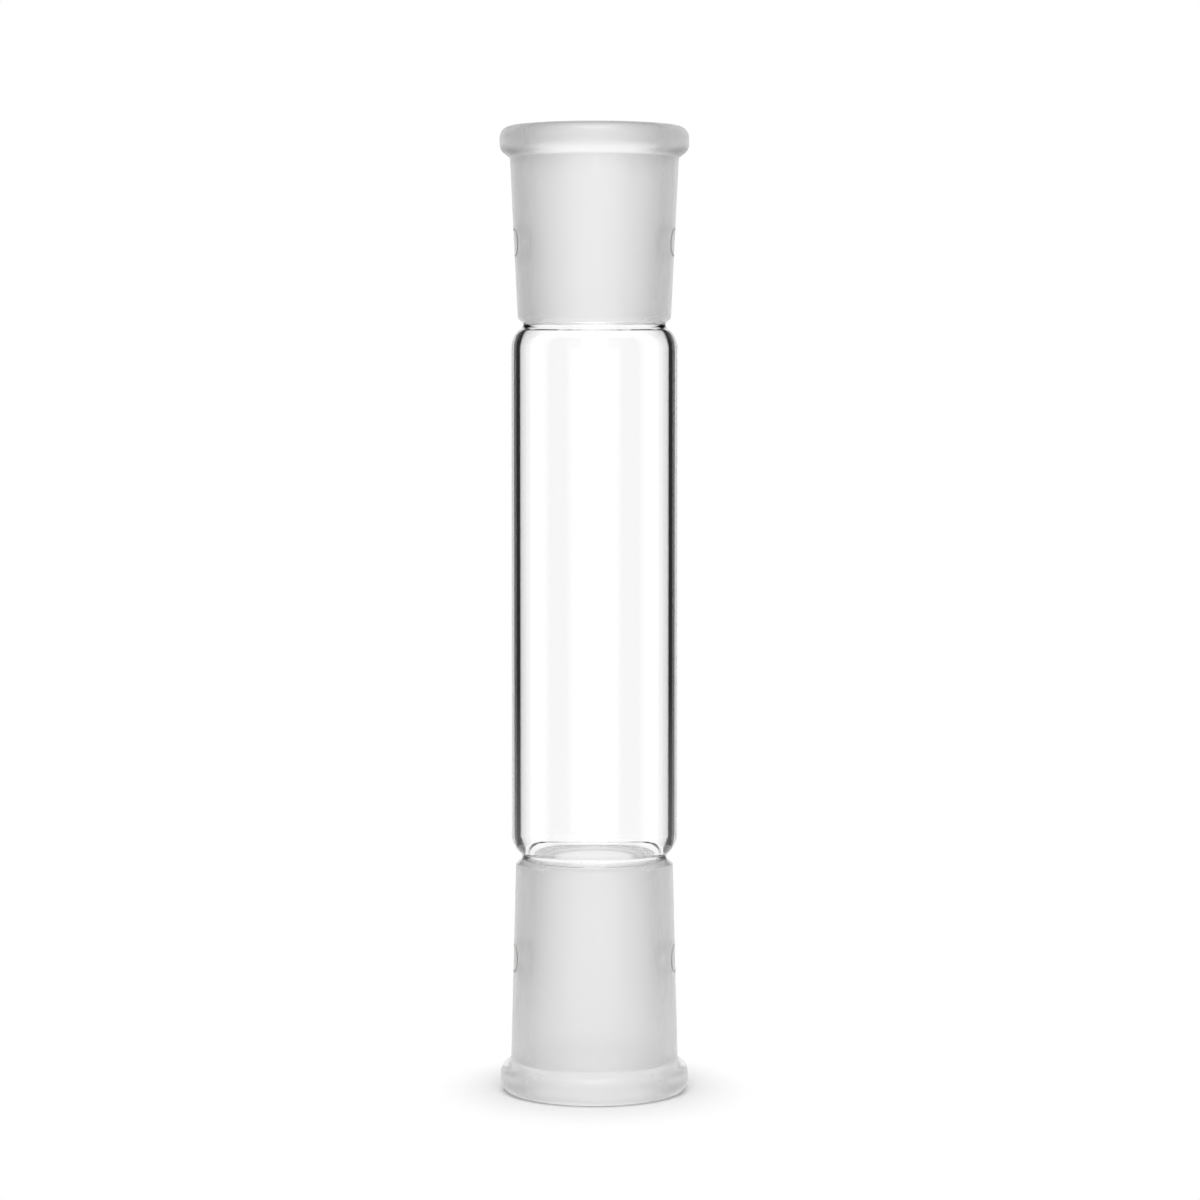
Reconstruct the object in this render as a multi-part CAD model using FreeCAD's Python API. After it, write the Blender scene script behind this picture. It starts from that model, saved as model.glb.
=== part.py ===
# Straight laboratory glass adapter: a clear tube with a ground conical socket at each end.
# It is one piece of glass, worked on a lathe, so it is one profile turned round its axis.
#
# Frame: the origin is the middle of the lower rim's flat face, and +Z runs up the axis.
# Lengths are in millimetres and angles in degrees.

import FreeCAD, Part

import math
import os
from typing import NamedTuple

OVERALL_LENGTH = 130.0

# Ground bore, a 1:10 cone of the 19/26 size at both ends
BORE_MOUTH_DIAMETER = 18.8
BORE_TAPER = 0.1  # loss of diameter for each millimetre of depth
MOUTH_CHAMFER = 0.3

# Beaded rim round each mouth
RIM_DIAMETER = 25.36
RIM_FACE_ROUND = 1.3

# Upper socket
UPPER_GROUND_LENGTH = 26.0
UPPER_BODY_LENGTH = 25.5
UPPER_MOUTH_WALL = 2.1
UPPER_END_WALL = 2.15
UPPER_RIM_HEIGHT = 4.13
UPPER_RIM_BACK_SLOPE = 36.5  # of the rim's back, from level
UPPER_NECK_DIAMETER = 19.2
UPPER_NECK_WALL = 0.7
UPPER_SHOULDER_WALL = 1.3

# Lower socket
LOWER_GROUND_LENGTH = 31.0
LOWER_BODY_LENGTH = 30.9
LOWER_MOUTH_WALL = 2.0
LOWER_END_WALL = 2.75
LOWER_RIM_HEIGHT = 4.4
LOWER_RIM_BACK_SLOPE = 38.0
LOWER_NECK_DIAMETER = 19.56
LOWER_NECK_WALL = 0.78
LOWER_SHOULDER_WALL = 1.0

# Necks, where the sockets were sealed to the tube in the flame
NECK_LENGTH = 0.5
SOCKET_END_SLOPE = 45.0  # of the socket's closed-in end, from the axis
BORE_END_SLOPE = 50.0  # of the step from the ground bore out to the neck, from the axis

# Clear tube and its drawn-in shoulders
TUBE_DIAMETER = 22.4
TUBE_WALL = 1.2
SHOULDER_SLOPE = 45.0  # where a shoulder meets its neck, from the axis
SHOULDER_ROUND = 3.0

ARC_SHARE_OF_LINE = 0.98  # most of a straight line that the arcs at its ends may take


class Socket(NamedTuple):
    """Sizes of one socket and of the neck that seals it to the tube."""

    ground_length: float
    body_length: float
    mouth_wall: float
    end_wall: float
    rim_height: float
    rim_back_slope: float
    neck_diameter: float
    neck_wall: float
    shoulder_wall: float


class Corner(NamedTuple):
    """A corner of the section: radius, depth from the mouth, and how far it is rounded."""

    radius: float
    depth: float
    rounding: float = 0.0


UPPER_SOCKET = Socket(
    UPPER_GROUND_LENGTH,
    UPPER_BODY_LENGTH,
    UPPER_MOUTH_WALL,
    UPPER_END_WALL,
    UPPER_RIM_HEIGHT,
    UPPER_RIM_BACK_SLOPE,
    UPPER_NECK_DIAMETER,
    UPPER_NECK_WALL,
    UPPER_SHOULDER_WALL,
)
LOWER_SOCKET = Socket(
    LOWER_GROUND_LENGTH,
    LOWER_BODY_LENGTH,
    LOWER_MOUTH_WALL,
    LOWER_END_WALL,
    LOWER_RIM_HEIGHT,
    LOWER_RIM_BACK_SLOPE,
    LOWER_NECK_DIAMETER,
    LOWER_NECK_WALL,
    LOWER_SHOULDER_WALL,
)


def run_along_axis(radial_step, slope):
    """Depth that a line takes to change its radius by radial_step, at a slope from the axis."""
    return radial_step / math.tan(math.radians(slope))


def bore_radius(depth):
    """Radius of the ground cone at a depth from the mouth."""
    return (BORE_MOUTH_DIAMETER - BORE_TAPER * depth) / 2


def body_radius(socket, depth):
    """Outer radius of the socket's conical body, whose wall changes evenly along the bore."""
    end_radius = bore_radius(socket.ground_length) + socket.end_wall
    mouth_radius = bore_radius(0) + socket.mouth_wall
    return mouth_radius + (end_radius - mouth_radius) * depth / socket.ground_length


def outer_corners(socket):
    """Outside of one end, from its mouth to the clear tube."""
    rim_radius = RIM_DIAMETER / 2
    root_radius = body_radius(socket, socket.rim_height)
    back_rise = (rim_radius - root_radius) * math.tan(math.radians(socket.rim_back_slope))
    end_radius = body_radius(socket, socket.body_length)
    neck_radius = socket.neck_diameter / 2
    neck_start = socket.body_length + run_along_axis(end_radius - neck_radius, SOCKET_END_SLOPE)
    neck_end = neck_start + NECK_LENGTH
    tube_radius = TUBE_DIAMETER / 2
    tube_start = neck_end + run_along_axis(tube_radius - neck_radius, SHOULDER_SLOPE)
    return [
        Corner(rim_radius, 0, RIM_FACE_ROUND),
        Corner(rim_radius, socket.rim_height - back_rise),
        Corner(root_radius, socket.rim_height),
        Corner(end_radius, socket.body_length),
        Corner(neck_radius, neck_start),
        Corner(neck_radius, neck_end),
        Corner(tube_radius, tube_start, SHOULDER_ROUND),
    ]


def inner_corners(socket):
    """Inside of one end, from its mouth to the clear tube's bore."""
    neck_radius = socket.neck_diameter / 2
    outer_neck_end = outer_corners(socket)[-2].depth
    neck_bore = neck_radius - socket.neck_wall
    tube_bore = TUBE_DIAMETER / 2 - TUBE_WALL
    ground_end = bore_radius(socket.ground_length)
    neck_start = socket.ground_length + run_along_axis(neck_bore - ground_end, BORE_END_SLOPE)
    # The shoulder's inside runs parallel to its outside, one shoulder wall away.
    wall_shift = socket.shoulder_wall / math.sin(math.radians(SHOULDER_SLOPE))
    neck_end = outer_neck_end + wall_shift - run_along_axis(socket.neck_wall, SHOULDER_SLOPE)
    tube_start = neck_end + run_along_axis(tube_bore - neck_bore, SHOULDER_SLOPE)
    return [
        Corner(bore_radius(0) + MOUTH_CHAMFER, 0),
        Corner(bore_radius(MOUTH_CHAMFER), MOUTH_CHAMFER),
        Corner(ground_end, socket.ground_length),
        Corner(neck_bore, neck_start),
        Corner(neck_bore, neck_end),
        Corner(tube_bore, tube_start),
    ]


def section_corners():
    """Corners of the wall's closed section on the XZ plane: up the outside, then down the inside."""
    lower_outside = outer_corners(LOWER_SOCKET)
    lower_inside = inner_corners(LOWER_SOCKET)
    upper_outside = [c._replace(depth=OVERALL_LENGTH - c.depth) for c in outer_corners(UPPER_SOCKET)]
    upper_inside = [c._replace(depth=OVERALL_LENGTH - c.depth) for c in inner_corners(UPPER_SOCKET)]
    corners = lower_outside + upper_outside[::-1] + upper_inside + lower_inside[::-1]
    return [(FreeCAD.Vector(c.radius, 0, c.depth), c.rounding) for c in corners]


def arc_reach(before, corner, after, rounding):
    """How far from a corner an arc of the given radius touches the corner's two lines."""
    return rounding / math.tan((before - corner).getAngle(after - corner) / 2)


def corner_arc(before, corner, after, reach):
    """Arc that touches both lines of a corner at the given reach from it."""
    to_before = (before - corner).normalize()
    to_after = (after - corner).normalize()
    half_angle = to_before.getAngle(to_after) / 2
    inwards = (to_before + to_after).normalize()
    middle_gap = reach * (1 - math.sin(half_angle)) / math.cos(half_angle)
    return Part.Arc(
        corner + to_before * reach,
        corner + inwards * middle_gap,
        corner + to_after * reach,
    )


def rounded_outline(corners):
    """Closed wire of straight lines through a list of corners, with an arc at each rounded one.

    An arc that a short line has no room for is made smaller.
    """
    points = [point for point, rounding in corners]
    places = list(zip(points[-1:] + points[:-1], points, points[1:] + points[:1]))
    edges = []
    stops = []
    for place, (point, rounding) in zip(places, corners):
        before, point, after = place
        shorter_line = min(point.distanceToPoint(before), point.distanceToPoint(after))
        reach = min(arc_reach(*place, rounding), ARC_SHARE_OF_LINE * shorter_line)
        if reach > 0:
            arc = corner_arc(*place, reach)
            edges.append(arc.toShape())
            stops += [arc.StartPoint, arc.EndPoint]
        else:
            stops += [point, point]
    for start, end in zip(stops[1::2], stops[2::2] + stops[:1]):
        edges.append(Part.LineSegment(start, end).toShape())
    return Part.Wire(Part.__sortEdges__(edges))


def glass_adapter():
    """The adapter as one solid, turned from its section."""
    section = Part.Face(rounded_outline(section_corners()))
    return section.revolve(FreeCAD.Vector(0, 0, 0), FreeCAD.Vector(0, 0, 1), 360)


def main():
    os.makedirs("parts", exist_ok=True)
    adapter = glass_adapter()
    adapter.exportStep("parts/glass_adapter.step")
    box = adapter.BoundBox
    print("valid", adapter.isValid(), "solids", len(adapter.Solids), "faces", len(adapter.Faces))
    print("size %.2f x %.2f x %.2f mm" % (box.XLength, box.YLength, box.ZLength))
    print("glass %.2f cubic centimetres" % (adapter.Volume / 1000))


main()
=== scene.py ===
"""Straight laboratory glass adapter: a clear tube with a ground conical socket at each end.

The wall is one section, turned round the Z axis by a Geometry Nodes lathe. Its sizes and its frame are
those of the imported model, and this script adds the flame-softened edges, the finishes and the studio.
Lengths are in millimetres until a mesh, a lamp or the camera takes them, in metres.
"""

import logging
import math
from dataclasses import dataclass, replace
from enum import Enum
from typing import Any, NamedTuple, Union

import bpy
from mathutils import Matrix, Vector


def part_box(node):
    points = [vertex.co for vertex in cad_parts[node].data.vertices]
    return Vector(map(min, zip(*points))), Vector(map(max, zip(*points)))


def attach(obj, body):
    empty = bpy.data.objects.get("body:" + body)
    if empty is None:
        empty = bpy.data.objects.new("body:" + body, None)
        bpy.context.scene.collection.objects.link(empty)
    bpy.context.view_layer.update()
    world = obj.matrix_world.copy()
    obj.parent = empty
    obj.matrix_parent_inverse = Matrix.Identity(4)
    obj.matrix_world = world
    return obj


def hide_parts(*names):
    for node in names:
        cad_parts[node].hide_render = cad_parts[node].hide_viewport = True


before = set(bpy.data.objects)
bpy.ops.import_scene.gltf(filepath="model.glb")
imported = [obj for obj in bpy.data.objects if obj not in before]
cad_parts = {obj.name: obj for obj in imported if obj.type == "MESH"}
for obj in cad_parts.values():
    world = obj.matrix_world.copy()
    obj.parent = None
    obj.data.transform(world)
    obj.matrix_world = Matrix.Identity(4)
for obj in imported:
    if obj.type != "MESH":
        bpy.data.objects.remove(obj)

LOG = logging.getLogger("glass_adapter")
MM = 0.001
ADAPTER_NODE = "glass_adapter"
BODY = "root"

MATHS = "ShaderNodeMath"
MIX = "ShaderNodeMix"
RANGE = "ShaderNodeMapRange"

SocketValue = Union[bpy.types.NodeSocket, float, int, str, tuple, bpy.types.Material]


def linear_colour(hex_colour: str) -> tuple[float, float, float, float]:
    """Turns an sRGB hex colour into the linear colour that a shader takes.

    Args:
        hex_colour: six hex digits, as in "F4F4F2".

    Returns:
        Linear red, green and blue, and an alpha of one.
    """
    channels = [int(hex_colour[i : i + 2], 16) / 255 for i in (0, 2, 4)]
    linear = [c / 12.92 if c <= 0.04045 else ((c + 0.055) / 1.055) ** 2.4 for c in channels]
    return (linear[0], linear[1], linear[2], 1.0)


def add_node(
    tree: bpy.types.NodeTree,
    kind: str,
    inputs: dict[str | int, SocketValue] | None = None,
    **settings: Any,
) -> bpy.types.Node:
    """Adds one node with its settings, its socket values and its links.

    Args:
        tree: the tree that the node joins.
        kind: Blender's name for the type of node.
        inputs: for each input, by name or number, a value or the socket that feeds it.
        **settings: properties of the node itself.

    Returns:
        The new node.
    """
    node = tree.nodes.new(kind)
    for name, value in settings.items():
        setattr(node, name, value)
    for key, value in (inputs or {}).items():
        if isinstance(value, bpy.types.NodeSocket):
            tree.links.new(value, node.inputs[key])
        else:
            node.inputs[key].default_value = value
    return node


def new_material(name: str) -> tuple[bpy.types.Material, bpy.types.NodeTree]:
    """Makes an empty node material.

    Args:
        name: the real material's name.

    Returns:
        The material and its cleared node tree.
    """
    material = bpy.data.materials.new(name)
    material.use_nodes = True
    material.node_tree.nodes.clear()
    return material, material.node_tree


class Finish(Enum):
    """How a stretch of the wall was finished."""

    FIRE_POLISHED = 0
    GROUND = 1
    SATIN = 2


@dataclass(frozen=True)
class FirePolishedBorosilicate:
    """Clear borosilicate glass, drawn as tube and polished in the flame.

    It shows no colour. Its smooth skin mirrors the room at the edges, and faint lines from the drawing
    of the tube run along it.
    """

    colour: str = "FFFFFF"
    ior: float = 1.474
    roughness: float = 0.0
    draw_line_spacing: float = 2.4
    draw_line_length: float = 60.0
    draw_line_height: float = 0.0015

    def material(self) -> bpy.types.Material:
        """Builds the material.

        Returns:
            The material, whose draw lines are a shallow bump on Object coordinates.
        """
        material, tree = new_material("fire_polished_borosilicate")
        place = add_node(tree, "ShaderNodeTexCoord").outputs["Object"]
        across = 1 / (self.draw_line_spacing * MM)
        along = 1 / (self.draw_line_length * MM)
        stretched = add_node(
            tree, "ShaderNodeMapping", {"Vector": place, "Scale": (across, across, along)}
        ).outputs["Vector"]
        lines = add_node(
            tree, "ShaderNodeTexNoise", {"Vector": stretched, "Scale": 1.0, "Detail": 1.0}
        ).outputs["Fac"]
        bump = add_node(
            tree, "ShaderNodeBump", {"Height": lines, "Distance": self.draw_line_height * MM}
        ).outputs["Normal"]
        glass = add_node(
            tree,
            "ShaderNodeBsdfPrincipled",
            {
                "Base Color": linear_colour(self.colour),
                "Roughness": self.roughness,
                "IOR": self.ior,
                "Transmission Weight": 1.0,
                "Normal": bump,
            },
        ).outputs["BSDF"]
        add_node(tree, "ShaderNodeOutputMaterial", {"Surface": glass})
        return material


@dataclass(frozen=True)
class GroundBorosilicate:
    """Borosilicate glass ground with fine grit.

    The matt skin scatters what passes through it, so a socket looks like white frost, brightest where
    the light comes straight through. Near the beads the frost's colour is painted a little greyer:
    painted shade over the thick glass of the rims.
    """

    name: str = "ground_borosilicate"
    colour: str = "F8F8F8"
    bead_shade_colour: str = "F2F2F2"
    # How far above or below the adapter's middle the painted shade turns the frost greyer
    bead_shade_edges: tuple[float, float] = (59.0, 61.0)
    ior: float = 1.474
    roughness: float = 0.45
    grit_size: float = 0.25
    grit_height: float = 0.01

    def material(self, middle: float) -> bpy.types.Material:
        """Builds the material.

        Args:
            middle: height of the adapter's middle.

        Returns:
            The material, with grit as a bump; it is drawn coarser than the real 0.05 mm, to show.
        """
        material, tree = new_material(self.name)
        place = add_node(tree, "ShaderNodeTexCoord").outputs["Object"]
        grit = add_node(
            tree, "ShaderNodeTexNoise", {"Vector": place, "Scale": 1 / (self.grit_size * MM)}
        ).outputs["Fac"]
        bump = add_node(
            tree, "ShaderNodeBump", {"Height": grit, "Distance": self.grit_height * MM}
        ).outputs["Normal"]
        height = add_node(tree, "ShaderNodeSeparateXYZ", {"Vector": place}).outputs["Z"]
        above = add_node(tree, MATHS, {0: height, 1: middle * MM}, operation="SUBTRACT").outputs[0]
        from_middle = add_node(tree, MATHS, {0: above}, operation="ABSOLUTE").outputs[0]
        # Painted shade: the frost's colour turns greyer near the beads, so the rims read darker.
        start, end = self.bead_shade_edges
        bead_shade_share = add_node(
            tree,
            RANGE,
            {"Value": from_middle, "From Min": start * MM, "From Max": end * MM},
            interpolation_type="SMOOTHSTEP",
        ).outputs[0]
        # A Mix node's colours are its inputs 6 and 7 and its output 2.
        shaded_tone = add_node(
            tree,
            MIX,
            {0: bead_shade_share, 6: linear_colour(self.colour), 7: linear_colour(self.bead_shade_colour)},
            data_type="RGBA",
        ).outputs[2]
        glass = add_node(
            tree,
            "ShaderNodeBsdfPrincipled",
            {
                "Base Color": shaded_tone,
                "Roughness": self.roughness,
                "IOR": self.ior,
                "Transmission Weight": 1.0,
                "Normal": bump,
            },
        ).outputs["BSDF"]
        add_node(tree, "ShaderNodeOutputMaterial", {"Surface": glass})
        return material


@dataclass(frozen=True)
class FiredEnamel:
    """Thin grey ceramic enamel, printed on the glass and fired on.

    It is matt and lets no light through, so it shows as a fine line, darker than the frost.
    """

    colour: str = "9C9C96"
    roughness: float = 0.5

    def material(self) -> bpy.types.Material:
        """Builds the material.

        Returns:
            The material, an even opaque grey.
        """
        material, tree = new_material("fired_enamel")
        enamel = add_node(
            tree,
            "ShaderNodeBsdfPrincipled",
            {"Base Color": linear_colour(self.colour), "Roughness": self.roughness},
        ).outputs["BSDF"]
        add_node(tree, "ShaderNodeOutputMaterial", {"Surface": enamel})
        return material


class Corner(NamedTuple):
    """A corner of the section, with how far it is rounded and which side of the wall it is on."""

    radius: float
    height: float
    rounding: float
    inside: bool


class SectionPoint(NamedTuple):
    """A point of the finished section and the side of the wall that it is on."""

    radius: float
    height: float
    inside: bool


@dataclass(frozen=True)
class Bore:
    """The ground cone, the same 1:10 size at both ends."""

    mouth_diameter: float = 18.8
    taper: float = 0.1
    chamfer: float = 0.3
    tolerance: float = 0.03

    def radius(self, depth: float) -> float:
        """Radius of the cone at a depth from the mouth."""
        return (self.mouth_diameter - self.taper * depth) / 2


@dataclass(frozen=True)
class Rim:
    """The bead round each mouth, with its edges softened in the flame."""

    diameter: float = 25.36
    face_round: float = 1.5
    back_round: float = 1.5
    root_round: float = 0.3
    mouth_round: float = 0.3


@dataclass(frozen=True)
class Tube:
    """The clear tube and how its ends are drawn in."""

    diameter: float = 22.4
    wall: float = 1.2
    shoulder_slope: float = 45.0
    shoulder_round: float = 3.0
    shoulder_bore_round: float = 2.8


@dataclass(frozen=True)
class Socket:
    """One socket and the neck that seals it to the tube. Depths run from its mouth."""

    ground_length: float
    body_length: float
    mouth_wall: float
    end_wall: float
    rim_height: float
    rim_back_slope: float
    neck_diameter: float
    neck_wall: float
    shoulder_wall: float
    neck_length: float = 0.5
    end_slope: float = 45.0
    end_round: float = 0.35
    neck_start_round: float = 0.45
    neck_end_round: float = 0.6
    # The lip that ends the ground bore, with a groove behind it
    lip_length: float = 0.7
    lip_wall: float = 0.4
    lip_gap: float = 0.6
    lip_round: float = 0.12
    bore_end_round: float = 0.35
    neck_bore_round: float = 0.4
    bore: Bore = Bore()
    rim: Rim = Rim()
    tube: Tube = Tube()

    @staticmethod
    def run_along_axis(radial_step: float, slope: float) -> float:
        """Depth that a line takes to change its radius by radial_step, at a slope from the axis."""
        return radial_step / math.tan(math.radians(slope))

    def body_radius(self, depth: float) -> float:
        """Outer radius of the conical body at a depth from the mouth.

        Args:
            depth: how far from the mouth.

        Returns:
            The radius, which changes evenly along the ground length.
        """
        mouth_radius = self.bore.radius(0) + self.mouth_wall
        end_radius = self.bore.radius(self.ground_length) + self.end_wall
        return mouth_radius + (end_radius - mouth_radius) * depth / self.ground_length

    def on_bore(self, radius: float, depth: float) -> bool:
        """Whether a place on the inside lies on the ground cone."""
        within = self.bore.chamfer < depth < self.ground_length + self.lip_length
        return within and abs(radius - self.bore.radius(depth)) < self.bore.tolerance

    def neck_end(self) -> float:
        """Depth at which the neck's outside turns out into the shoulder."""
        narrowing = self.body_radius(self.body_length) - self.neck_diameter / 2
        return self.body_length + self.run_along_axis(narrowing, self.end_slope) + self.neck_length

    def outer_corners(self) -> list[Corner]:
        """Outside of this end, from its mouth to the clear tube.

        Returns:
            Corners whose height is their depth from the mouth.
        """
        rim_radius = self.rim.diameter / 2
        root_radius = self.body_radius(self.rim_height)
        back_rise = (rim_radius - root_radius) * math.tan(math.radians(self.rim_back_slope))
        neck_radius = self.neck_diameter / 2
        neck_end = self.neck_end()
        tube_radius = self.tube.diameter / 2
        shoulder_run = self.run_along_axis(tube_radius - neck_radius, self.tube.shoulder_slope)
        return [
            Corner(rim_radius, 0, self.rim.face_round, False),
            Corner(rim_radius, self.rim_height - back_rise, self.rim.back_round, False),
            Corner(root_radius, self.rim_height, self.rim.root_round, False),
            Corner(self.body_radius(self.body_length), self.body_length, self.end_round, False),
            Corner(neck_radius, neck_end - self.neck_length, self.neck_start_round, False),
            Corner(neck_radius, neck_end, self.neck_end_round, False),
            Corner(tube_radius, neck_end + shoulder_run, self.tube.shoulder_round, False),
        ]

    def inner_corners(self) -> list[Corner]:
        """Inside of this end, from its mouth to the clear tube's bore.

        Returns:
            Corners whose height is their depth from the mouth.
        """
        chamfer = self.bore.chamfer
        neck_bore = self.neck_diameter / 2 - self.neck_wall
        lip_end = self.ground_length + self.lip_length
        lip_radius = self.bore.radius(lip_end)
        # The shoulder's inside runs parallel to its outside, one shoulder wall away.
        slope = self.tube.shoulder_slope
        wall_shift = self.shoulder_wall / math.sin(math.radians(slope))
        neck_end = self.neck_end() + wall_shift - self.run_along_axis(self.neck_wall, slope)
        tube_bore = self.tube.diameter / 2 - self.tube.wall
        tube_start = neck_end + self.run_along_axis(tube_bore - neck_bore, slope)
        return [
            Corner(self.bore.radius(0) + chamfer, 0, self.rim.mouth_round, True),
            Corner(self.bore.radius(chamfer), chamfer, self.rim.mouth_round, True),
            Corner(lip_radius, lip_end, self.lip_round, True),
            Corner(lip_radius + self.lip_wall, lip_end, self.lip_round, True),
            Corner(lip_radius + self.lip_wall, lip_end - self.lip_gap, self.lip_round, True),
            Corner(neck_bore, lip_end - self.lip_gap, self.bore_end_round, True),
            Corner(neck_bore, neck_end, self.neck_bore_round, True),
            Corner(tube_bore, tube_start, self.tube.shoulder_bore_round, True),
        ]


UPPER_SOCKET = Socket(
    ground_length=26.0,
    body_length=25.5,
    mouth_wall=2.1,
    end_wall=2.15,
    rim_height=4.13,
    rim_back_slope=36.5,
    neck_diameter=19.2,
    neck_wall=0.7,
    shoulder_wall=1.0,
)
LOWER_SOCKET = Socket(
    ground_length=31.0,
    body_length=30.9,
    mouth_wall=2.0,
    end_wall=2.75,
    rim_height=4.4,
    rim_back_slope=38.0,
    neck_diameter=19.56,
    neck_wall=0.78,
    shoulder_wall=1.0,
)


@dataclass(frozen=True)
class Rounding:
    """How finely the section's corners are drawn."""

    arc_step: float = 5.0
    fewest_steps: int = 3
    share_of_line: float = 0.96
    # An extra point past each end of an arc keeps the straight stretch beside it shaded flat.
    shading_margin: float = 0.08
    margin_share: float = 0.04


class Turn:
    """A corner of the section between its two lines, ready to be rounded."""

    def __init__(self, before: Corner, corner: Corner, after: Corner) -> None:
        """Works out the corner's two lines and the angle between them.

        Args:
            before: the corner before this one.
            corner: the corner itself.
            after: the corner after it.
        """
        self.corner = corner
        self.middle = Vector((corner.radius, corner.height))
        self.back = Vector((before.radius, before.height)) - self.middle
        self.ahead = Vector((after.radius, after.height)) - self.middle
        self.half_angle = self.back.angle(self.ahead) / 2

    def wanted_reach(self) -> float:
        """How far from the corner its full rounding touches the two lines."""
        return self.corner.rounding / math.tan(self.half_angle)

    def points(self, reach: float, rounding: Rounding) -> list[SectionPoint]:
        """Points of the rounded corner, with one more on each line.

        Args:
            reach: how far from the corner the arc touches the two lines.
            rounding: how finely the arc is drawn.

        Returns:
            Points in order along the section.
        """
        back = self.back.normalized()
        ahead = self.ahead.normalized()
        radius = reach * math.tan(self.half_angle)
        centre = self.middle + (back + ahead).normalized() * (radius / math.sin(self.half_angle))
        first = self.middle + back * reach - centre
        last = self.middle + ahead * reach - centre
        angle = -first.angle_signed(last)
        steps = max(rounding.fewest_steps, math.ceil(abs(math.degrees(angle)) / rounding.arc_step))
        margin = min(rounding.shading_margin, reach * rounding.margin_share)
        places = [self.middle + back * (reach + margin)]
        places += [centre + Matrix.Rotation(angle * i / steps, 2) @ first for i in range(steps + 1)]
        places.append(self.middle + ahead * (reach + margin))
        return [SectionPoint(place.x, place.y, self.corner.inside) for place in places]


@dataclass(frozen=True)
class WallSection:
    """The closed section of the whole wall, up the outside and down the inside."""

    length: float
    upper: Socket = UPPER_SOCKET
    lower: Socket = LOWER_SOCKET
    rounding: Rounding = Rounding()

    @classmethod
    def within(cls, low: Vector, high: Vector) -> "WallSection":
        """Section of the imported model's length, with rims no wider than its box.

        Args:
            low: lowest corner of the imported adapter, in metres.
            high: its highest corner.

        Returns:
            The section, with all its other sizes as they are written above.
        """
        rim = Rim(diameter=2 * min(-low[0], high[0], -low[1], high[1]) / MM)
        upper, lower = (replace(socket, rim=rim) for socket in (UPPER_SOCKET, LOWER_SOCKET))
        return cls((high[2] - low[2]) / MM, upper, lower)

    def raised(self, corner: Corner) -> Corner:
        """The upper socket's corner, with its depth turned into a height."""
        return corner._replace(height=self.length - corner.height)

    def corners(self) -> list[Corner]:
        """Every corner of the section.

        Returns:
            Corners in order, with heights above the lower rim's face.
        """
        upper_outside = [self.raised(c) for c in self.upper.outer_corners()]
        upper_inside = [self.raised(c) for c in self.upper.inner_corners()]
        outside = self.lower.outer_corners() + upper_outside[::-1]
        return outside + upper_inside + self.lower.inner_corners()[::-1]

    def points(self) -> list[SectionPoint]:
        """Every point of the section, with its corners rounded.

        Returns:
            Points in order, from the lower rim's outer edge.
        """
        corners = self.corners()
        neighbours = zip(corners[-1:] + corners[:-1], corners, corners[1:] + corners[:1])
        turns = [Turn(*place) for place in neighbours]
        wanted = [turn.wanted_reach() for turn in turns]
        points = []
        for i, turn in enumerate(turns):
            # Two roundings that would meet on a short line share it by their sizes.
            crowding = max(
                (wanted[i] + wanted[i - 1]) / turn.back.length,
                (wanted[i] + wanted[(i + 1) % len(turns)]) / turn.ahead.length,
            )
            reach = wanted[i] * min(1.0, self.rounding.share_of_line / crowding)
            points += turn.points(reach, self.rounding)
        return points

    def finish_between(self, start: SectionPoint, end: SectionPoint) -> Finish:
        """Finish of the stretch between two neighbouring points.

        Args:
            start: the point that the stretch starts from.
            end: the point after it.

        Returns:
            Ground on the cones, satin outside the sockets, and fire-polished elsewhere.
        """
        inside = start.inside and end.inside
        radius = (start.radius + end.radius) / 2
        height = (start.height + end.height) / 2
        depth = self.length - height
        if inside and (self.lower.on_bore(radius, height) or self.upper.on_bore(radius, depth)):
            return Finish.GROUND
        on_lower_socket = height < self.lower.body_length + self.lower.end_round
        on_upper_socket = depth < self.upper.body_length + self.upper.end_round
        if not inside and (on_lower_socket or on_upper_socket):
            return Finish.SATIN
        return Finish.FIRE_POLISHED

    def mesh(self) -> bpy.types.Mesh:
        """Writes the section as loose vertices.

        Returns:
            A mesh whose vertices know the finish of the stretch after them.
        """
        points = self.points()
        mesh = bpy.data.meshes.new("wall_section")
        mesh.from_pydata([(p.radius * MM, 0, p.height * MM) for p in points], [], [])
        finishes = [self.finish_between(a, b).value for a, b in zip(points, points[1:] + points[:1])]
        mesh.attributes.new("finish", "INT", "POINT").data.foreach_set("value", finishes)
        return mesh


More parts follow.
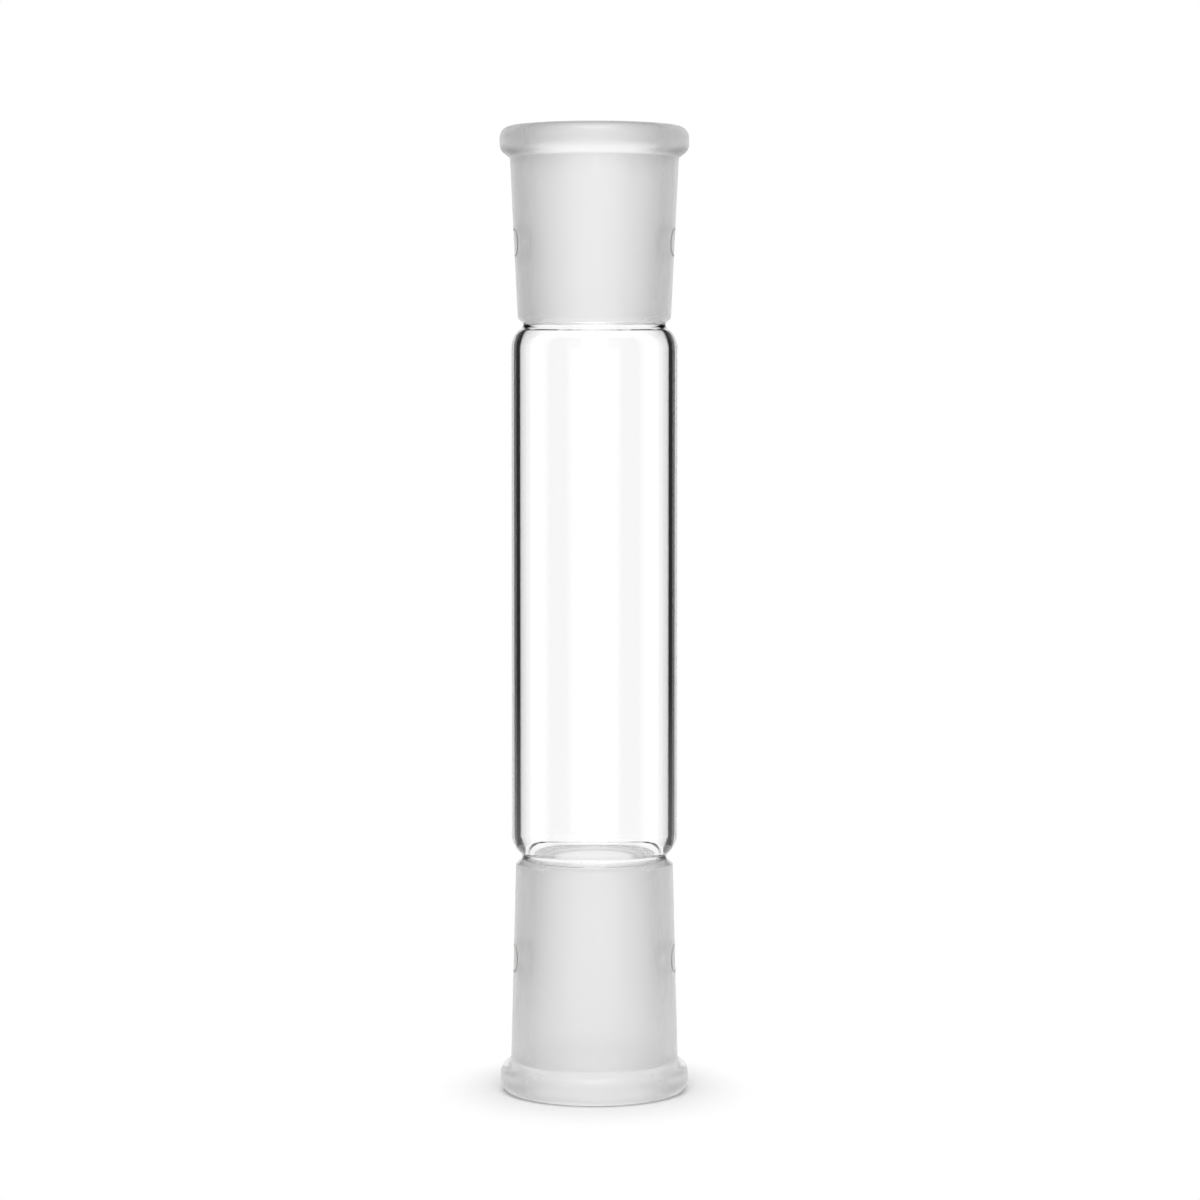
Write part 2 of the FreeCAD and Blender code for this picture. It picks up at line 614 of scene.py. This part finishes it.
@dataclass(frozen=True)
class Lathe:
    """Turns a section round the Z axis into a closed wall, by Geometry Nodes."""

    segments: int = 204
    merge_distance: float = 0.0002

    def tree(self) -> bpy.types.NodeTree:
        """Builds the lathe's node tree.

        Returns:
            The tree, with inputs for the section, the segments and one material for each finish.
        """
        tree = bpy.data.node_groups.new("glass_lathe", "GeometryNodeTree")
        tree.interface.new_socket("Section", in_out="INPUT", socket_type="NodeSocketGeometry")
        tree.interface.new_socket("Segments", in_out="INPUT", socket_type="NodeSocketInt")
        for finish in Finish:
            tree.interface.new_socket(finish.name, in_out="INPUT", socket_type="NodeSocketMaterial")
        tree.interface.new_socket("Wall", in_out="OUTPUT", socket_type="NodeSocketGeometry")
        given = add_node(tree, "NodeGroupInput").outputs
        section = given["Section"]
        segments = given["Segments"]

        # The grid's columns go round the axis, and its rows go round the section.
        count = add_node(
            tree, "GeometryNodeAttributeDomainSize", {"Geometry": section}
        ).outputs["Point Count"]
        rows = add_node(tree, MATHS, {0: count, 1: 1.0}, operation="ADD").outputs[0]
        columns = add_node(tree, MATHS, {0: segments, 1: 1.0}, operation="ADD").outputs[0]
        grid = add_node(
            tree, "GeometryNodeMeshGrid", {"Vertices X": columns, "Vertices Y": rows}
        ).outputs["Mesh"]
        index = add_node(tree, "GeometryNodeInputIndex").outputs["Index"]
        columns_before = add_node(tree, MATHS, {0: index, 1: rows}, operation="DIVIDE").outputs[0]
        column = add_node(tree, MATHS, {0: columns_before}, operation="FLOOR").outputs[0]
        column_start = add_node(tree, MATHS, {0: column, 1: rows}, operation="MULTIPLY").outputs[0]
        row = add_node(tree, MATHS, {0: index, 1: column_start}, operation="SUBTRACT").outputs[0]

        # Each row takes the place of its point on the section, and the last row closes on the first.
        source_point = add_node(tree, MATHS, {0: row, 1: count}, operation="MODULO").outputs[0]
        position = add_node(tree, "GeometryNodeInputPosition").outputs["Position"]
        sampled = add_node(
            tree,
            "GeometryNodeSampleIndex",
            {"Geometry": section, "Value": position, "Index": source_point},
            data_type="FLOAT_VECTOR",
            domain="POINT",
        ).outputs["Value"]
        on_section = add_node(tree, "ShaderNodeSeparateXYZ", {"Vector": sampled}).outputs
        step = add_node(tree, MATHS, {0: math.tau, 1: segments}, operation="DIVIDE").outputs[0]
        angle = add_node(tree, MATHS, {0: column, 1: step}, operation="MULTIPLY").outputs[0]
        cosine = add_node(tree, MATHS, {0: angle}, operation="COSINE").outputs[0]
        sine = add_node(tree, MATHS, {0: angle}, operation="SINE").outputs[0]
        radius = on_section["X"]
        x = add_node(tree, MATHS, {0: radius, 1: cosine}, operation="MULTIPLY").outputs[0]
        y = add_node(tree, MATHS, {0: radius, 1: sine}, operation="MULTIPLY").outputs[0]
        turned = add_node(
            tree, "ShaderNodeCombineXYZ", {"X": x, "Y": y, "Z": on_section["Z"]}
        ).outputs["Vector"]
        wall = add_node(
            tree, "GeometryNodeSetPosition", {"Geometry": grid, "Position": turned}
        ).outputs["Geometry"]

        # A face's row is its number along the section, so it takes the finish of that stretch.
        finish_value = add_node(
            tree, "GeometryNodeInputNamedAttribute", {"Name": "finish"}, data_type="INT"
        ).outputs["Attribute"]
        stretch = add_node(tree, MATHS, {0: index, 1: count}, operation="MODULO").outputs[0]
        face_finish = add_node(
            tree,
            "GeometryNodeSampleIndex",
            {"Geometry": section, "Value": finish_value, "Index": stretch},
            data_type="INT",
            domain="POINT",
        ).outputs["Value"]
        wall = add_node(
            tree,
            "GeometryNodeStoreNamedAttribute",
            {"Geometry": wall, "Name": "finish", "Value": face_finish},
            data_type="INT",
            domain="FACE",
        ).outputs["Geometry"]
        wall = add_node(
            tree, "GeometryNodeMergeByDistance", {"Geometry": wall, "Distance": self.merge_distance * MM}
        ).outputs["Geometry"]
        wall = add_node(tree, "GeometryNodeSetShadeSmooth", {"Geometry": wall}).outputs["Geometry"]
        wall = add_node(tree, "GeometryNodeRealizeInstances", {"Geometry": wall}).outputs["Geometry"]
        for finish in Finish:
            chosen = add_node(
                tree,
                "FunctionNodeCompare",
                {"A": finish_value, "B": finish.value},
                data_type="INT",
                operation="EQUAL",
            ).outputs["Result"]
            wall = add_node(
                tree,
                "GeometryNodeSetMaterial",
                {"Geometry": wall, "Selection": chosen, "Material": given[finish.name]},
            ).outputs["Geometry"]
        add_node(tree, "NodeGroupOutput", {"Wall": wall})
        return tree


def plain_piece(
    name: str, source: bpy.types.Mesh, tree: bpy.types.NodeTree, values: dict[str, Any]
) -> bpy.types.Object:
    """Runs a Geometry Nodes tree on a mesh and keeps the result as a plain mesh object.

    Args:
        name: name of the finished piece.
        source: mesh that the tree starts from.
        tree: the Geometry Nodes tree.
        values: the tree's inputs, by name.

    Returns:
        The piece, at the origin, with no modifier.
    """
    piece = bpy.data.objects.new(name, source)
    bpy.context.scene.collection.objects.link(piece)
    modifier = piece.modifiers.new(tree.name, "NODES")
    modifier.node_group = tree
    identifiers = {item.name: item.identifier for item in tree.interface.items_tree}
    for key, value in values.items():
        modifier[identifiers[key]] = value
    evaluated = piece.evaluated_get(bpy.context.evaluated_depsgraph_get())
    finished = bpy.data.meshes.new_from_object(evaluated)
    piece.modifiers.clear()
    # A tree can leave an empty first material slot, which no face uses.
    if finished.materials[0] is None:
        finished.materials.pop(index=0)
    piece.data = finished
    finished.name = name
    bpy.data.meshes.remove(source)
    return piece


@dataclass(frozen=True)
class GlassAdapter:
    """The adapter itself, one piece of glass."""

    section: WallSection
    lathe: Lathe = Lathe()
    clear: FirePolishedBorosilicate = FirePolishedBorosilicate()
    ground: GroundBorosilicate = GroundBorosilicate()
    satin: GroundBorosilicate = GroundBorosilicate("satin_borosilicate", roughness=0.26)

    def build(self) -> bpy.types.Object:
        """Turns the wall and dresses it.

        Returns:
            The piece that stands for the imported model's only node.
        """
        middle = self.section.length / 2
        values = {
            "Segments": self.lathe.segments,
            Finish.FIRE_POLISHED.name: self.clear.material(),
            Finish.GROUND.name: self.ground.material(middle),
            Finish.SATIN.name: self.satin.material(middle),
        }
        piece = plain_piece("adapter_wall", self.section.mesh(), self.lathe.tree(), values)
        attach(piece, BODY)
        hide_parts(ADAPTER_NODE)
        LOG.info("%s: %d faces", piece.name, len(piece.data.polygons))
        return piece


@dataclass(frozen=True)
class SocketMarks:
    """Plain oval rings of enamel on both sides of each socket, by Geometry Nodes."""

    section: WallSection
    enamel: FiredEnamel = FiredEnamel()
    upper_depth: float = 15.45
    lower_depth: float = 18.15
    azimuths: tuple[float, ...] = (0.0, 180.0)
    width: float = 6.8
    tall: float = 3.5
    line: float = 0.28
    # How far the middle of the line lies under the glass's skin
    sunk: float = 0.09
    # Just under half the height, so that the rounded ends keep a sliver of straight line between them
    end_share: float = 0.499
    end_points: int = 12
    ring_points: int = 96
    line_sides: int = 8

    def carrier(self) -> bpy.types.Mesh:
        """Writes one loose vertex for each mark.

        Returns:
            A mesh whose vertices know where their mark goes on the wall.
        """
        places = []
        for azimuth in self.azimuths:
            for socket, depth, height, upwards in (
                (self.section.upper, self.upper_depth, self.section.length - self.upper_depth, -1),
                (self.section.lower, self.lower_depth, self.lower_depth, 1),
            ):
                slope = upwards * (socket.body_radius(1.0) - socket.body_radius(0.0))
                radius = (socket.body_radius(depth) - self.sunk) * MM
                places.append((math.radians(azimuth), height * MM, radius, slope))
        mesh = bpy.data.meshes.new("mark_places")
        mesh.from_pydata([(0.0, 0.0, 0.0)] * len(places), [], [])
        for name, values in zip(("azimuth", "height", "radius", "slope"), zip(*places)):
            mesh.attributes.new(name, "FLOAT", "POINT").data.foreach_set("value", values)
        return mesh

    def tree(self) -> bpy.types.NodeTree:
        """Builds the tree that bends a flat ring on to the wall at each place.

        Returns:
            The tree, with inputs for the places, the ring's sizes and its material.
        """
        tree = bpy.data.node_groups.new("oval_marks", "GeometryNodeTree")
        tree.interface.new_socket("Places", in_out="INPUT", socket_type="NodeSocketGeometry")
        for name in ("Width", "Tall", "Line"):
            tree.interface.new_socket(name, in_out="INPUT", socket_type="NodeSocketFloat")
        tree.interface.new_socket("Enamel", in_out="INPUT", socket_type="NodeSocketMaterial")
        tree.interface.new_socket("Marks", in_out="OUTPUT", socket_type="NodeSocketGeometry")
        given = add_node(tree, "NodeGroupInput").outputs

        oblong = add_node(
            tree,
            "GeometryNodeCurvePrimitiveQuadrilateral",
            {"Width": given["Width"], "Height": given["Tall"]},
            mode="RECTANGLE",
        ).outputs["Curve"]
        end_radius = add_node(
            tree, MATHS, {0: given["Tall"], 1: self.end_share}, operation="MULTIPLY"
        ).outputs[0]
        outline = add_node(
            tree,
            "GeometryNodeFilletCurve",
            {"Curve": oblong, "Count": self.end_points, "Radius": end_radius, "Limit Radius": True},
            mode="POLY",
        ).outputs["Curve"]
        evened = add_node(
            tree, "GeometryNodeResampleCurve", {"Curve": outline, "Count": self.ring_points}
        ).outputs["Curve"]
        line_radius = add_node(tree, MATHS, {0: given["Line"], 1: 2.0}, operation="DIVIDE").outputs[0]
        round_line = add_node(
            tree,
            "GeometryNodeCurvePrimitiveCircle",
            {"Resolution": self.line_sides, "Radius": line_radius},
        ).outputs["Curve"]
        ring = add_node(
            tree, "GeometryNodeCurveToMesh", {"Curve": evened, "Profile Curve": round_line}
        ).outputs["Mesh"]
        rings = add_node(
            tree, "GeometryNodeInstanceOnPoints", {"Points": given["Places"], "Instance": ring}
        ).outputs["Instances"]
        marks = add_node(tree, "GeometryNodeRealizeInstances", {"Geometry": rings}).outputs["Geometry"]

        # On the flat ring, X runs round the wall, Y up it and Z out of it.
        position = add_node(tree, "GeometryNodeInputPosition").outputs["Position"]
        flat = add_node(tree, "ShaderNodeSeparateXYZ", {"Vector": position}).outputs
        azimuth, height, base_radius, slope = (
            add_node(
                tree, "GeometryNodeInputNamedAttribute", {"Name": name}, data_type="FLOAT"
            ).outputs["Attribute"]
            for name in ("azimuth", "height", "radius", "slope")
        )
        turn = add_node(tree, MATHS, {0: flat["X"], 1: base_radius}, operation="DIVIDE").outputs[0]
        angle = add_node(tree, MATHS, {0: turn, 1: azimuth}, operation="ADD").outputs[0]
        leaning = add_node(
            tree, MATHS, {0: flat["Y"], 1: slope, 2: base_radius}, operation="MULTIPLY_ADD"
        ).outputs[0]
        radius = add_node(tree, MATHS, {0: leaning, 1: flat["Z"]}, operation="ADD").outputs[0]
        cosine = add_node(tree, MATHS, {0: angle}, operation="COSINE").outputs[0]
        sine = add_node(tree, MATHS, {0: angle}, operation="SINE").outputs[0]
        x = add_node(tree, MATHS, {0: radius, 1: cosine}, operation="MULTIPLY").outputs[0]
        y = add_node(tree, MATHS, {0: radius, 1: sine}, operation="MULTIPLY").outputs[0]
        z = add_node(tree, MATHS, {0: flat["Y"], 1: height}, operation="ADD").outputs[0]
        wrapped = add_node(tree, "ShaderNodeCombineXYZ", {"X": x, "Y": y, "Z": z}).outputs["Vector"]
        marks = add_node(
            tree, "GeometryNodeSetPosition", {"Geometry": marks, "Position": wrapped}
        ).outputs["Geometry"]
        marks = add_node(tree, "GeometryNodeSetShadeSmooth", {"Geometry": marks}).outputs["Geometry"]
        marks = add_node(
            tree, "GeometryNodeSetMaterial", {"Geometry": marks, "Material": given["Enamel"]}
        ).outputs["Geometry"]
        add_node(tree, "NodeGroupOutput", {"Marks": marks})
        return tree

    def build(self) -> bpy.types.Object:
        """Lays the rings on the wall.

        Returns:
            The piece with all the marks.
        """
        values = {
            "Width": self.width * MM,
            "Tall": self.tall * MM,
            "Line": self.line * MM,
            "Enamel": self.enamel.material(),
        }
        piece = plain_piece("socket_marks", self.carrier(), self.tree(), values)
        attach(piece, BODY)
        LOG.info("%s: %d faces", piece.name, len(piece.data.polygons))
        return piece


@dataclass(frozen=True)
class Softbox:
    """A flat soft lamp that faces the object."""

    name: str
    place: tuple[float, float, float]
    size: tuple[float, float]
    power: float

    def hang(self) -> bpy.types.Object:
        """Hangs the lamp in its place.

        Returns:
            The lamp.
        """
        light = bpy.data.lights.new(self.name, "AREA")
        light.shape = "RECTANGLE"
        light.size = self.size[0] * MM
        light.size_y = self.size[1] * MM
        light.energy = self.power
        lamp = bpy.data.objects.new(self.name, light)
        lamp.location = Vector(self.place) * MM
        lamp.rotation_euler = (-lamp.location).to_track_quat("-Z", "Y").to_euler()
        bpy.context.scene.collection.objects.link(lamp)
        return lamp


@dataclass(frozen=True)
class Studio:
    """A white table under a white sky, with dark sides that draw the edges of clear glass.

    A level is a share of white, and a pair of edges holds the two values between which one level
    turns into the next.
    """

    table_radius: float = 100.0
    table_sides: int = 96
    paper_colour: str = "FEFEFE"
    paper_roughness: float = 0.8
    # The table turns into the white background between these distances, and sooner to its sides.
    fade_start: float = 13.5
    fade_end: float = 27.0
    fade_squeeze: float = 1.2
    white_through_glass: float = 0.8
    # What the table gets, and what a ray from the table gets through the glass
    dome_level: float = 0.52
    level_after_table: float = 0.5
    # What polished glass mirrors, while its ray has passed fewer than this many faces
    skin_faces: float = 2.5
    dark_level: float = 0.028
    dark_level_below: float = 0.107
    below_edges: tuple[float, float] = (-0.085, -0.125)
    windows: int = 4
    window_edges: tuple[float, float] = (0.1, 0.4)
    cap_edges: tuple[float, float] = (0.5, 0.8)
    # What frosted glass gathers
    pale_side: tuple[float, float, float] = (0.998, -0.06, 0.0)
    pale_edges: tuple[float, float] = (0.35, 0.95)
    pale_level: float = 0.4
    ceiling_edges: tuple[float, float] = (0.25, 0.7)
    ceiling_level: float = 1.17
    depth_edges: tuple[float, float] = (-0.15, -0.6)
    depth_level: float = 0.4
    lamps: tuple[Softbox, ...] = (
        Softbox("front_softbox", (0.0, -750.0, 150.0), (1200.0, 1000.0), 2.0),
        Softbox("brow_softbox", (0.0, -480.0, 640.0), (400.0, 350.0), 1.5),
        Softbox("overhead_softbox", (0.0, -150.0, 800.0), (700.0, 600.0), 1.6),
    )

    @staticmethod
    def through_glass(tree: bpy.types.NodeTree, path: bpy.types.NodeOutputs) -> bpy.types.NodeSocket:
        """One for a ray that comes from glass, and zero for any other."""
        rays = {0: path["Is Glossy Ray"], 1: path["Is Transmission Ray"]}
        return add_node(tree, MATHS, rays, operation="MAXIMUM").outputs[0]

    def table_material(self) -> bpy.types.Material:
        """Matt white paper that turns into the white background far from the object.

        Returns:
            The material, which keeps the object's shadow near it.
        """
        material, tree = new_material("matt_white_paper")
        path = add_node(tree, "ShaderNodeLightPath").outputs
        place = add_node(tree, "ShaderNodeTexCoord").outputs["Object"]
        squeezed = add_node(
            tree, "ShaderNodeVectorMath", {0: place, 1: (self.fade_squeeze, 1.0, 1.0)}, operation="MULTIPLY"
        ).outputs["Vector"]
        distance = add_node(
            tree, "ShaderNodeVectorMath", {0: squeezed}, operation="LENGTH"
        ).outputs["Value"]
        far = add_node(
            tree,
            RANGE,
            {"Value": distance, "From Min": self.fade_start * MM, "From Max": self.fade_end * MM},
            interpolation_type="SMOOTHSTEP",
        ).outputs["Result"]
        seen = add_node(tree, MATHS, {0: far, 1: path["Is Camera Ray"]}, operation="MULTIPLY").outputs[0]
        share = add_node(
            tree,
            MATHS,
            {0: self.through_glass(tree, path), 1: self.white_through_glass, 2: seen},
            operation="MULTIPLY_ADD",
        ).outputs[0]
        paper = add_node(
            tree,
            "ShaderNodeBsdfPrincipled",
            {
                "Base Color": linear_colour(self.paper_colour),
                "Roughness": self.paper_roughness,
                "Specular IOR Level": 0.0,
            },
        ).outputs["BSDF"]
        white = add_node(tree, "ShaderNodeEmission").outputs["Emission"]
        mixed = add_node(tree, "ShaderNodeMixShader", {0: share, 1: paper, 2: white}).outputs["Shader"]
        add_node(tree, "ShaderNodeOutputMaterial", {"Surface": mixed})
        return material

    def table(self) -> bpy.types.Object:
        """Lays the round table top under the object.

        Returns:
            The table top, which is no part of the object.
        """
        mesh = bpy.data.meshes.new("table_top")
        radius = self.table_radius * MM
        step = math.tau / self.table_sides
        angles = [step * i for i in range(self.table_sides)]
        rim = [(radius * math.cos(angle), radius * math.sin(angle), 0.0) for angle in angles]
        mesh.from_pydata(rim, [], [list(range(self.table_sides))])
        mesh.materials.append(self.table_material())
        table = bpy.data.objects.new("table_top", mesh)
        bpy.context.scene.collection.objects.link(table)
        return table

    def dark_sides(
        self, tree: bpy.types.NodeTree, along: bpy.types.NodeOutputs
    ) -> bpy.types.NodeSocket:
        """What polished glass mirrors: a dark room with tall windows and a light ceiling.

        Args:
            tree: the surroundings' node tree.
            along: X, Y and Z of the ray's direction.

        Returns:
            The level in that direction.
        """
        azimuth = add_node(tree, MATHS, {0: along["Y"], 1: along["X"]}, operation="ARCTAN2").outputs[0]
        waves = add_node(tree, MATHS, {0: azimuth, 1: self.windows}, operation="MULTIPLY").outputs[0]
        wave = add_node(tree, MATHS, {0: waves}, operation="COSINE").outputs[0]
        window = add_node(
            tree,
            RANGE,
            {"Value": wave, "From Min": self.window_edges[0], "From Max": self.window_edges[1]},
            interpolation_type="SMOOTHSTEP",
        ).outputs[0]
        steep = add_node(tree, MATHS, {0: along["Z"]}, operation="ABSOLUTE").outputs[0]
        ceiling = add_node(
            tree,
            RANGE,
            {"Value": steep, "From Min": self.cap_edges[0], "From Max": self.cap_edges[1]},
            interpolation_type="SMOOTHSTEP",
        ).outputs[0]
        dark = add_node(
            tree,
            RANGE,
            {
                "Value": along["Z"],
                "From Min": self.below_edges[0],
                "From Max": self.below_edges[1],
                "To Min": self.dark_level,
                "To Max": self.dark_level_below,
            },
        ).outputs[0]
        light = add_node(tree, MATHS, {0: window, 1: ceiling}, operation="MAXIMUM").outputs[0]
        return add_node(tree, MATHS, {0: dark, 1: light}, operation="MAXIMUM").outputs[0]

    def pale_sides(
        self, tree: bpy.types.NodeTree, direction: bpy.types.NodeSocket, along: bpy.types.NodeOutputs
    ) -> bpy.types.NodeSocket:
        """What frosted glass gathers: white before and behind it, and pale grey to its sides.

        Args:
            tree: the surroundings' node tree.
            direction: the ray's direction.
            along: X, Y and Z of that direction.

        Returns:
            The level in that direction.
        """
        across = add_node(
            tree, "ShaderNodeVectorMath", {0: direction, 1: self.pale_side}, operation="DOT_PRODUCT"
        ).outputs["Value"]
        sideways = add_node(tree, MATHS, {0: across}, operation="ABSOLUTE").outputs[0]
        walls = add_node(
            tree,
            RANGE,
            {
                "Value": sideways,
                "From Min": self.pale_edges[0],
                "From Max": self.pale_edges[1],
                "To Min": 1.0,
                "To Max": self.pale_level,
            },
            interpolation_type="SMOOTHSTEP",
        ).outputs[0]
        above = add_node(
            tree,
            RANGE,
            {"Value": along["Z"], "From Min": self.ceiling_edges[0], "From Max": self.ceiling_edges[1]},
            interpolation_type="SMOOTHSTEP",
        ).outputs[0]
        with_ceiling = add_node(
            tree, MIX, {"Factor": above, "A": walls, "B": self.ceiling_level}
        ).outputs[0]
        below = add_node(
            tree,
            RANGE,
            {"Value": along["Z"], "From Min": self.depth_edges[0], "From Max": self.depth_edges[1]},
            interpolation_type="SMOOTHSTEP",
        ).outputs[0]
        return add_node(
            tree, MIX, {"Factor": below, "A": with_ceiling, "B": self.depth_level}
        ).outputs[0]

    def surroundings(self) -> None:
        """Sets the surroundings: white to the eye and through glass, with dark sides for its edges."""
        world = bpy.data.worlds.new("white_studio")
        bpy.context.scene.world = world
        world.use_nodes = True
        tree = world.node_tree
        tree.nodes.clear()
        path = add_node(tree, "ShaderNodeLightPath").outputs
        direction = add_node(tree, "ShaderNodeTexCoord").outputs["Generated"]
        along = add_node(tree, "ShaderNodeSeparateXYZ", {"Vector": direction}).outputs
        dark = self.dark_sides(tree, along)
        frosted = self.pale_sides(tree, direction, along)

        # Polished glass that mirrors near its skin sees the dark sides, and through it all is white.
        mirrored = add_node(tree, MATHS, {0: path["Glossy Depth"], 1: 1.0}, operation="MINIMUM").outputs[0]
        near_skin = add_node(
            tree, MATHS, {0: path["Transmission Depth"], 1: self.skin_faces}, operation="LESS_THAN"
        ).outputs[0]
        edge = add_node(tree, MATHS, {0: mirrored, 1: near_skin}, operation="MULTIPLY").outputs[0]
        polished = add_node(tree, MIX, {"Factor": edge, "A": 1.0, "B": dark}).outputs[0]

        # A singular ray last met a polished face, and any other ray from glass a frosted one.
        glassy = add_node(
            tree, MIX, {"Factor": path["Is Singular Ray"], "A": frosted, "B": polished}
        ).outputs[0]
        glassy = add_node(
            tree, MIX, {"Factor": path["Diffuse Depth"], "A": glassy, "B": self.level_after_table}
        ).outputs[0]
        level = add_node(
            tree, MIX, {"Factor": self.through_glass(tree, path), "A": self.dome_level, "B": glassy}
        ).outputs[0]
        strength = add_node(tree, MIX, {"Factor": path["Is Camera Ray"], "A": level, "B": 1.0}).outputs[0]
        sky = add_node(
            tree, "ShaderNodeBackground", {"Color": linear_colour("FFFFFF"), "Strength": strength}
        ).outputs["Background"]
        add_node(tree, "ShaderNodeOutputWorld", {"Surface": sky})

    def build(self) -> None:
        """Sets up the table, the surroundings and the lamps."""
        self.table()
        self.surroundings()
        for softbox in self.lamps:
            softbox.hang()
        LOG.info("studio: table %.0f mm across, %d lamps", 2 * self.table_radius, len(self.lamps))


@dataclass(frozen=True)
class PortraitCamera:
    """The camera, set for a square picture of 1200 by 1200 pixels. Angles are in degrees."""

    distance: float = 481.59
    height: float = 95.472
    pitch: float = 3.43
    turn: float = 0.0895
    lens: float = 107.4
    sensor: float = 36.0

    def build(self) -> bpy.types.Object:
        """Places the camera in front of the object.

        Returns:
            The camera, which is the scene's own.
        """
        data = bpy.data.cameras.new("portrait_camera")
        data.lens = self.lens
        data.sensor_width = self.sensor
        camera = bpy.data.objects.new("portrait_camera", data)
        camera.location = (0.0, -self.distance * MM, self.height * MM)
        camera.rotation_euler = (math.radians(90 - self.pitch), 0.0, math.radians(-self.turn))
        bpy.context.scene.collection.objects.link(camera)
        bpy.context.scene.camera = camera
        LOG.info("camera: %.0f mm away", self.distance)
        return camera


def main() -> None:
    """Builds the adapter, the studio and the camera, in that order."""
    logging.basicConfig(level=logging.INFO, format="%(name)s %(message)s")
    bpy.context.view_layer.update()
    section = WallSection.within(*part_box(ADAPTER_NODE))
    GlassAdapter(section).build()
    SocketMarks(section).build()
    Studio().build()
    PortraitCamera().build()
    bpy.context.scene.view_settings.view_transform = "Standard"


if __name__ == "__main__":
    main()
